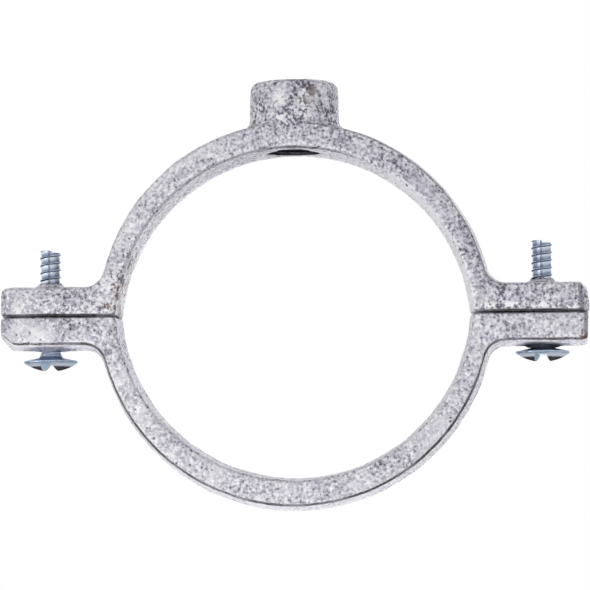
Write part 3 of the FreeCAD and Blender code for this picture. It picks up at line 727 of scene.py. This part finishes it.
def mark_casting(mesh, half):
    """Marks painted dark edges, painted bright lines, calm places, painted light as shifts of tone, and
    painted shadow round the screws. Lengths are in millimetres.
    """
    normal_x, normal_y, normal_z = point_normals(mesh).T
    x, y, z = point_places(mesh).T / MM
    upper, lower = half == "upper", half == "lower"
    around, level, facing = np.hypot(x, z), np.abs(z), np.abs(normal_y)
    near_face = rise(np.abs(y), HALF_WIDTH / MM - 1.8, 0.6)
    down = -normal_z / np.maximum(np.hypot(normal_x, normal_z), 1e-6)
    inward = -(normal_x * x + normal_z * z) / around
    inner = (inward > 0) & (around < RING_EDGE)
    at_boss = (np.abs(x) < BOSS_REACH) & (z > BOSS_FOOT)

    # Painted shade: dark lines on rounded edges that look down, round the bore, outside on the right, at the
    # split and along the lower half's seam
    dark = rise(down, 0, 0.5) * ~at_boss * np.where(inner, along(BORE_LINE, x), 1.0)
    dark = np.maximum(dark, RIGHT_LINE * rise(normal_x, 0, 0.3) * (x > RIGHT_LINE_FROM) * ~inner)
    dark = np.maximum(dark, SPLIT_LINE * fall(level, 1.0, 0.3) * (np.abs(x) > SPLIT_LINE_FROM))
    on_round = rise(facing, 0.12, 0.2) * fall(facing, 0.9, 0.1)
    outer = (around > RING_EDGE) & (np.abs(x) < RING_EDGE) & (inward < 0) & lower
    seam = SEAM_LINE * fall(np.abs(y + 0.5), 0.6, 0.5) * rise(down, 0, 0.4) * outer
    mark_points(mesh, "rim", np.maximum(on_round * near_face * dark, seam))

    # Painted highlight along the faces' rounded edges, and in a band above the split on the upper ears
    beside = rise(facing, 0.88, 0.06) * fall(facing, 0.992, 0.02)
    above_split = fall(np.abs(level - 1.5), 1.4, 1) * (facing > 0.9) * (np.abs(x) > SPLIT_BAND_FROM)
    mark_points(mesh, "painted_highlight", np.maximum(beside, above_split * upper) * near_face)

    calm = rise(around, *CALM_OUT) * rise(-x, *CALM_LEFT) * rise(z, *CALM_UP) * (facing > 0.5)
    mark_points(mesh, "calm", calm)
    # Painted light: lighter inner walls on the right and left, lighter undersides, faces lighter or darker
    # from left to right, and lighter calm places
    right = RIGHT_PAINTED_LIGHT * rise(-normal_x, 0, 0.6) * (x > 0) * (1 if upper else 0.5)
    left = LEFT_PAINTED_LIGHT * rise(normal_x, 0, 0.6) * (x < 0) * upper
    under = UNDER_PAINTED_LIGHT * rise(-normal_z, 0.4, 0.4) * lower
    flat = along(FACE_PAINTED_LIGHT[half], x) * rise(facing, 0.8, 0.15) * ~at_boss
    painted_light = rise(inward, 0.2, 0.3) * inner * (right + left) + under + flat + CALM_PAINTED_LIGHT * calm
    mark_points(mesh, "painted_light", 0.5 + painted_light)

    # Painted shadow round the screws on the ears' outer sides
    outward = normal_z * (1 if upper else -1)
    reaches = [fall(np.hypot(x - side * SCREW_AXIS / MM, y), reach, 0.7)
               for side, reach in PAINTED_SCREW_SHADOW_REACH[half].items()]
    mark_points(mesh, "painted_screw_shadow", np.max(reaches, axis=0) * rise(outward, 0.1, 0.3))


def make_casting(node, name, half, seed, cutter=None):
    piece = merged_copy(node, name)
    if cutter:
        cut_with(piece, cutter)
    remesh = piece.modifiers.new("remesh", "REMESH")
    remesh.mode = "VOXEL"
    remesh.voxel_size = VOXEL
    settle(piece)
    places = point_places(piece.data)
    flatten_ear_ends(places, half)
    if half == "lower":
        flatten_left_lip(places)
    piece.data.vertices.foreach_set("co", places.astype(np.float32).ravel())
    smooth = piece.modifiers.new("smooth", "SMOOTH")
    smooth.factor = SOFTENING_SHARE
    smooth.iterations = SOFTENING_STEPS
    settle(piece)
    mark_casting(piece.data, half)
    add_nodes(piece, CAST_SKIN, {
        "Lump Size": LUMP_SIZE, "Lump Height": LUMP_HEIGHT, "Dimple Size": DIMPLE_SIZE,
        "Dimple Height": DIMPLE_HEIGHT, "Grit Size": GRIT_SIZE, "Grit Height": GRIT_HEIGHT,
        "Seed": seed, "Finish": GALVANISED})
    settle(piece)
    smooth_shade(piece.data)
    return piece


# Turned and threaded pieces

def chain_mesh(name, points, closed=False):
    """A line of edges through points of radius and height."""
    count = len(points)
    edges = [(number, number + 1) for number in range(count - 1)]
    if closed:
        edges.append((count - 1, 0))
    mesh = bpy.data.meshes.new(name)
    mesh.from_pydata([(radius, 0, height) for radius, height in points], edges, [])
    return mesh


def arc_points(centre, radius, start, end, steps):
    turns = [start + (end - start) * number / steps for number in range(steps + 1)]
    return [(centre[0] + radius * math.cos(turn), centre[1] + radius * math.sin(turn)) for turn in turns]


def screw_outline(reach):
    """Half the screw's outline from its crown to its tip, with the head's rim at height 0."""
    dome = (HEAD_RADIUS ** 2 + HEAD_DOME ** 2) / (2 * HEAD_DOME)
    middle = dome - HEAD_DOME
    rim_turn = -math.asin(middle / dome)
    points = arc_points((0, middle), dome, -math.pi / 2, rim_turn, DOME_STEPS)
    points += [(HEAD_RADIUS + HEAD_BULGE, HEAD_RIM / 2), (HEAD_RADIUS - HEAD_TUCK, HEAD_RIM)]
    points += arc_points((THREAD_CREST + NECK_FILLET, SHANK_FROM + NECK_FILLET), NECK_FILLET,
                         -0.55 * math.pi, -math.pi, FILLET_STEPS)
    points += [(THREAD_CREST, reach - TIP_CHAMFER), (THREAD_CREST - TIP_CHAMFER, reach), (0, reach)]
    return points


def wedge(name, corners, low, high):
    """A prism along the pipe's direction whose section is a list of across and height."""
    count = len(corners)
    verts = [(x, y, z) for y in (low, high) for x, z in corners]
    faces = [list(range(count)), list(range(2 * count - 1, count - 1, -1))]
    faces += [[n, n + count, (n + 1) % count + count, (n + 1) % count] for n in range(count)]
    mesh = bpy.data.meshes.new(name)
    mesh.from_pydata(verts, [], faces)
    clean_mesh(mesh, JOIN_CUTTER, recalculate=True)
    return put_in_scene(name, mesh)


# Painted highlight and shade: how light the metal is painted from one thread crest up to the next
THREAD_PAINTED_LIGHT = [(0.0, 0.55), (0.06, 0.7), (0.16, 0.22), (0.34, 0.32), (0.52, 0.6), (0.70, 1.0), (0.82, 0.95),
                (0.90, 0.1), (0.96, 0.0), (1.0, 0.55)]
# The same on the head, from its rim down to its crown
HEAD_PAINTED_LIGHT = [(0.0, 0.35), (0.06, 0.5), (0.2, 0.95), (1.0, 1.0)]
# The same on the neck, by height above the head's rim in millimetres
NECK_PAINTED_LIGHT = [(1.15, 0.15), (1.5, 0.3), (1.8, 0.95), (2.15, 0.35), (2.5, 1.0), (2.9, 0.55), (3.3, 0.4),
              (3.7, 0.5)]
# How much painted shade, with duller metal, lies in the flute and on the shank on its far side
FLUTE_PAINTED_SHADE, SHANK_PAINTED_SHADE = 0.4, 0.14


def mark_screw(mesh, reach):
    """Marks painted highlight and shade bands, the neck, the slot's walls, and painted shade with duller
    metal on the head's lower dome, in the flute and beyond it.
    """
    normals = point_normals(mesh)
    places = point_places(mesh)
    down, height = -normals[:, 2], places[:, 2]
    angle = np.arctan2(places[:, 1], places[:, 0]) % TAU
    # Painted highlight and shade in bands by the thread's turn, on the head and on the neck
    phase = (height / THREAD_PITCH - angle / TAU - 0.5) % 1
    on_shank = rise(height, SHANK_FROM, 0.5 * MM) * (height < reach - 0.02 * MM)
    on_head = along(HEAD_PAINTED_LIGHT, -height / HEAD_DOME)
    painted_bands = np.where(height < 0, on_head, 0.5 + (along(THREAD_PAINTED_LIGHT, phase) - 0.5) * on_shank)
    neck = rise(height, SHANK_FROM, 0.1 * MM) * fall(height / MM, 3.7, 0.4)
    painted_bands += (along(NECK_PAINTED_LIGHT, height / MM) - painted_bands) * neck
    mark_points(mesh, "painted_bands", painted_bands)
    mark_points(mesh, "neck", neck)
    walls = [abs(face.normal.x) > 0.7 and -HEAD_DOME < face.center.z < 0 for face in mesh.polygons]
    mesh.attributes.new("slot", "FLOAT", "FACE").data.foreach_set("value", np.array(walls, np.float32))
    # Painted shade on the head's lower dome, in the flute and on the shank beyond it
    dome = rise(-height / HEAD_DOME, 0.28, 0.25) * rise(down, 0.5, 0.2)
    turn = (angle + math.pi / 2 - FLUTE_TURN + math.pi) % TAU - math.pi
    fluted = rise(height, reach - FLUTE_REACH, MM)
    flute = FLUTE_PAINTED_SHADE * (np.abs(turn) < 0.12) * fluted
    beyond = SHANK_PAINTED_SHADE * rise(turn, 0, 0.15) * fall(turn, 1.6, 0.3) * fluted
    mark_points(mesh, "dull_and_painted_shade", np.max([dome, flute, beyond], axis=0))


def make_screw(node, name):
    low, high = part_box(node)
    reach = high.z - low.z - HEAD_DOME
    piece = put_in_scene(name, chain_mesh(name, screw_outline(reach)))
    add_nodes(piece, THREADED, {
        "Around": 120, "Along": 540, "Inside": False, "Root Radius": THREAD_ROOT,
        "Crest Radius": THREAD_CREST, "Pitch": THREAD_PITCH, "Base Share": 0.34, "Crest Share": 0.05,
        "Start": THREAD_FROM, "Fade": THREAD_FADE,
        "Flute Radius": FLUTE_RADIUS, "Flute Start": reach - FLUTE_REACH,
        "Flute Turn": -math.pi / 2 + FLUTE_TURN, "Finish": ZINC})
    settle(piece)
    clean_mesh(piece.data, JOIN_TURNED, recalculate=True)
    flank = (SLOT_MOUTH - SLOT_FLOOR) / 2 / SLOT_DEPTH
    mouth = SLOT_MOUTH / 2 + flank * CUTTER_ROOM
    deep, below = SLOT_DEPTH - HEAD_DOME, -HEAD_DOME - CUTTER_ROOM
    slot = wedge("slot_cutter", [(-SLOT_FLOOR / 2, deep), (-mouth, below), (mouth, below),
                                 (SLOT_FLOOR / 2, deep)], -1.5 * HEAD_RADIUS, 1.5 * HEAD_RADIUS)
    edge = THREAD_CREST + CUTTER_ROOM
    step = wedge("tip_cutter", [(0, reach - TIP_STEP), (edge, reach - TIP_STEP), (edge, reach + edge),
                                (0, reach + edge)], -edge, edge)
    cut_with(piece, slot)
    cut_with(piece, step)
    settle(piece)
    drop(slot)
    drop(step)
    clean_mesh(piece.data, JOIN_CUT)
    piece.data.materials.clear()
    piece.data.materials.append(ZINC)
    piece.data.polygons.foreach_set("material_index", [0] * len(piece.data.polygons))
    mark_screw(piece.data, reach)
    centre = (low + high) / 2
    place = Matrix.Translation((centre.x, centre.y, low.z + HEAD_DOME))
    piece.data.transform(place @ Matrix.Rotation(SLOT_TURN, 4, "Z"))
    smooth_shade(piece.data, SCREW_SHARP)
    return piece


def make_rod_thread():
    """The threaded wall of the boss's hole, up to the flat round its mouth."""
    outer = ROD_CREST + ROD_DEPTH + ROD_BACKING
    top = BOSS_TOP + ROD_PROUD
    outline = [(ROD_CREST, ROD_LOWEST), (ROD_CREST, BOSS_TOP - ROD_CHAMFER),
               (ROD_CREST + ROD_CHAMFER, top), (outer - ROD_BEVEL_ACROSS, top),
               (outer, top - ROD_BEVEL_DOWN), (outer, ROD_LOWEST)]
    piece = put_in_scene("rod_thread", chain_mesh("rod_thread", outline, closed=True))
    add_nodes(piece, THREADED, {
        "Around": 160, "Along": 420, "Inside": True, "Root Radius": ROD_CREST,
        "Crest Radius": ROD_CREST + ROD_DEPTH, "Pitch": ROD_PITCH, "Base Share": 0.92,
        "Crest Share": 0.12, "Start": ROD_LOWEST, "Fade": ROD_FADE, "Flute Radius": 0.0,
        "Flute Start": 0.0, "Flute Turn": 0.0, "Finish": TAPPED})
    settle(piece)
    clean_mesh(piece.data, JOIN_TURNED, recalculate=True)
    smooth_shade(piece.data, ROD_SHARP)
    return piece


bore_cutter = upright_cylinder("bore_cutter", ROD_CREST + ROD_DEPTH + BORE_ROOM, ROD_LOWEST,
                               BOSS_TOP + BORE_ABOVE)
upper_casting = make_casting("upper_half", "upper_casting", "upper", UPPER_SEED, bore_cutter)
drop(bore_cutter)
lower_casting = make_casting("lower_half", "lower_casting", "lower", LOWER_SEED)
rod_thread = make_rod_thread()
left_screw = make_screw("screw_left", "left_thread_cutting_screw")
right_screw = make_screw("screw_right", "right_thread_cutting_screw")

for piece, body, slot in ((upper_casting, "upper", "galvanised_iron"),
                          (rod_thread, "upper", "galvanised_iron"),
                          (lower_casting, "lower", "galvanised_iron"),
                          (left_screw, "left_screw", "zinc_plated_steel"),
                          (right_screw, "right_screw", "zinc_plated_steel")):
    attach(piece, body)
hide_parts("upper_half")
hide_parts("lower_half")
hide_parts("screw_left")
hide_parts("screw_right")


# Studio

def white_world():
    """A white surround, with a softer level for diffuse light."""
    world = bpy.data.worlds.new("white_surround")
    bpy.context.scene.world = world
    world.use_nodes = True
    world.node_tree.nodes.clear()
    make = Maker(world.node_tree)
    path = make.add("ShaderNodeLightPath").outputs
    seen = make.calc("MAXIMUM", path["Is Camera Ray"],
                     make.calc("MAXIMUM", path["Is Glossy Ray"], path["Is Transmission Ray"]))
    soft = make.add("ShaderNodeBackground", {"Color": (1, 1, 1, 1), "Strength": SOFT_LEVEL})
    white = make.add("ShaderNodeBackground", {"Color": (1, 1, 1, 1), "Strength": WHITE_LEVEL})
    mix = make.add("ShaderNodeMixShader", {0: seen, 1: soft.outputs[0], 2: white.outputs[0]})
    make.add("ShaderNodeOutputWorld", {"Surface": mix.outputs[0]})


def pale_floor():
    """A pale floor below the hanging part, seen from above only."""
    mesh = bpy.data.meshes.new("floor")
    corners = [(x * FLOOR_HALF, y * FLOOR_HALF, FLOOR_LEVEL) for x, y in ((-1, -1), (1, -1), (1, 1), (-1, 1))]
    mesh.from_pydata(corners, [], [(0, 1, 2, 3)])
    floor = put_in_scene("floor", mesh)
    material = bpy.data.materials.new("pale_floor")
    material.use_nodes = True
    material.node_tree.nodes.clear()
    make = Maker(material.node_tree)
    matt = make.add("ShaderNodeBsdfDiffuse", {"Color": (FLOOR_GREY, FLOOR_GREY, FLOOR_GREY, 1)})
    clear = make.add("ShaderNodeBsdfTransparent")
    side = make.add("ShaderNodeNewGeometry").outputs["Backfacing"]
    mix = make.add("ShaderNodeMixShader", {0: side, 1: matt.outputs[0], 2: clear.outputs[0]})
    make.add("ShaderNodeOutputMaterial", {"Surface": mix.outputs[0]})
    mesh.materials.append(material)


def area_lamp(name, place, aim, size, watts, mirrored):
    lamp = bpy.data.lights.new(name, "AREA")
    lamp.shape = "SQUARE"
    lamp.size = size
    lamp.energy = watts
    obj = bpy.data.objects.new(name, lamp)
    bpy.context.scene.collection.objects.link(obj)
    obj.location = place
    obj.rotation_mode = "QUATERNION"
    obj.rotation_quaternion = (Vector(aim) - Vector(place)).to_track_quat("-Z", "Y")
    obj.visible_camera = False
    obj.visible_glossy = mirrored


def photo_camera():
    data = bpy.data.cameras.new("camera")
    camera = bpy.data.objects.new("camera", data)
    bpy.context.scene.collection.objects.link(camera)
    bpy.context.scene.camera = camera
    level = math.cos(CAMERA_RISE)
    back = Vector((math.sin(CAMERA_TURN) * level, -math.cos(CAMERA_TURN) * level, math.sin(CAMERA_RISE)))
    camera.location = VIEW_CENTRE + back * CAMERA_DISTANCE
    camera.rotation_mode = "QUATERNION"
    upright = (-back).to_track_quat("-Z", "Y")
    camera.rotation_quaternion = upright @ Quaternion((0, 0, 1), -CAMERA_ROLL)
    data.sensor_width = SENSOR_WIDTH
    data.lens = data.sensor_width * CAMERA_DISTANCE / VIEW_WIDTH
    data.clip_start, data.clip_end = CLIP_START, CLIP_END


white_world()
pale_floor()
for lamp in LAMPS:
    area_lamp(*lamp)
photo_camera()

bpy.context.scene.view_settings.view_transform = "Standard"
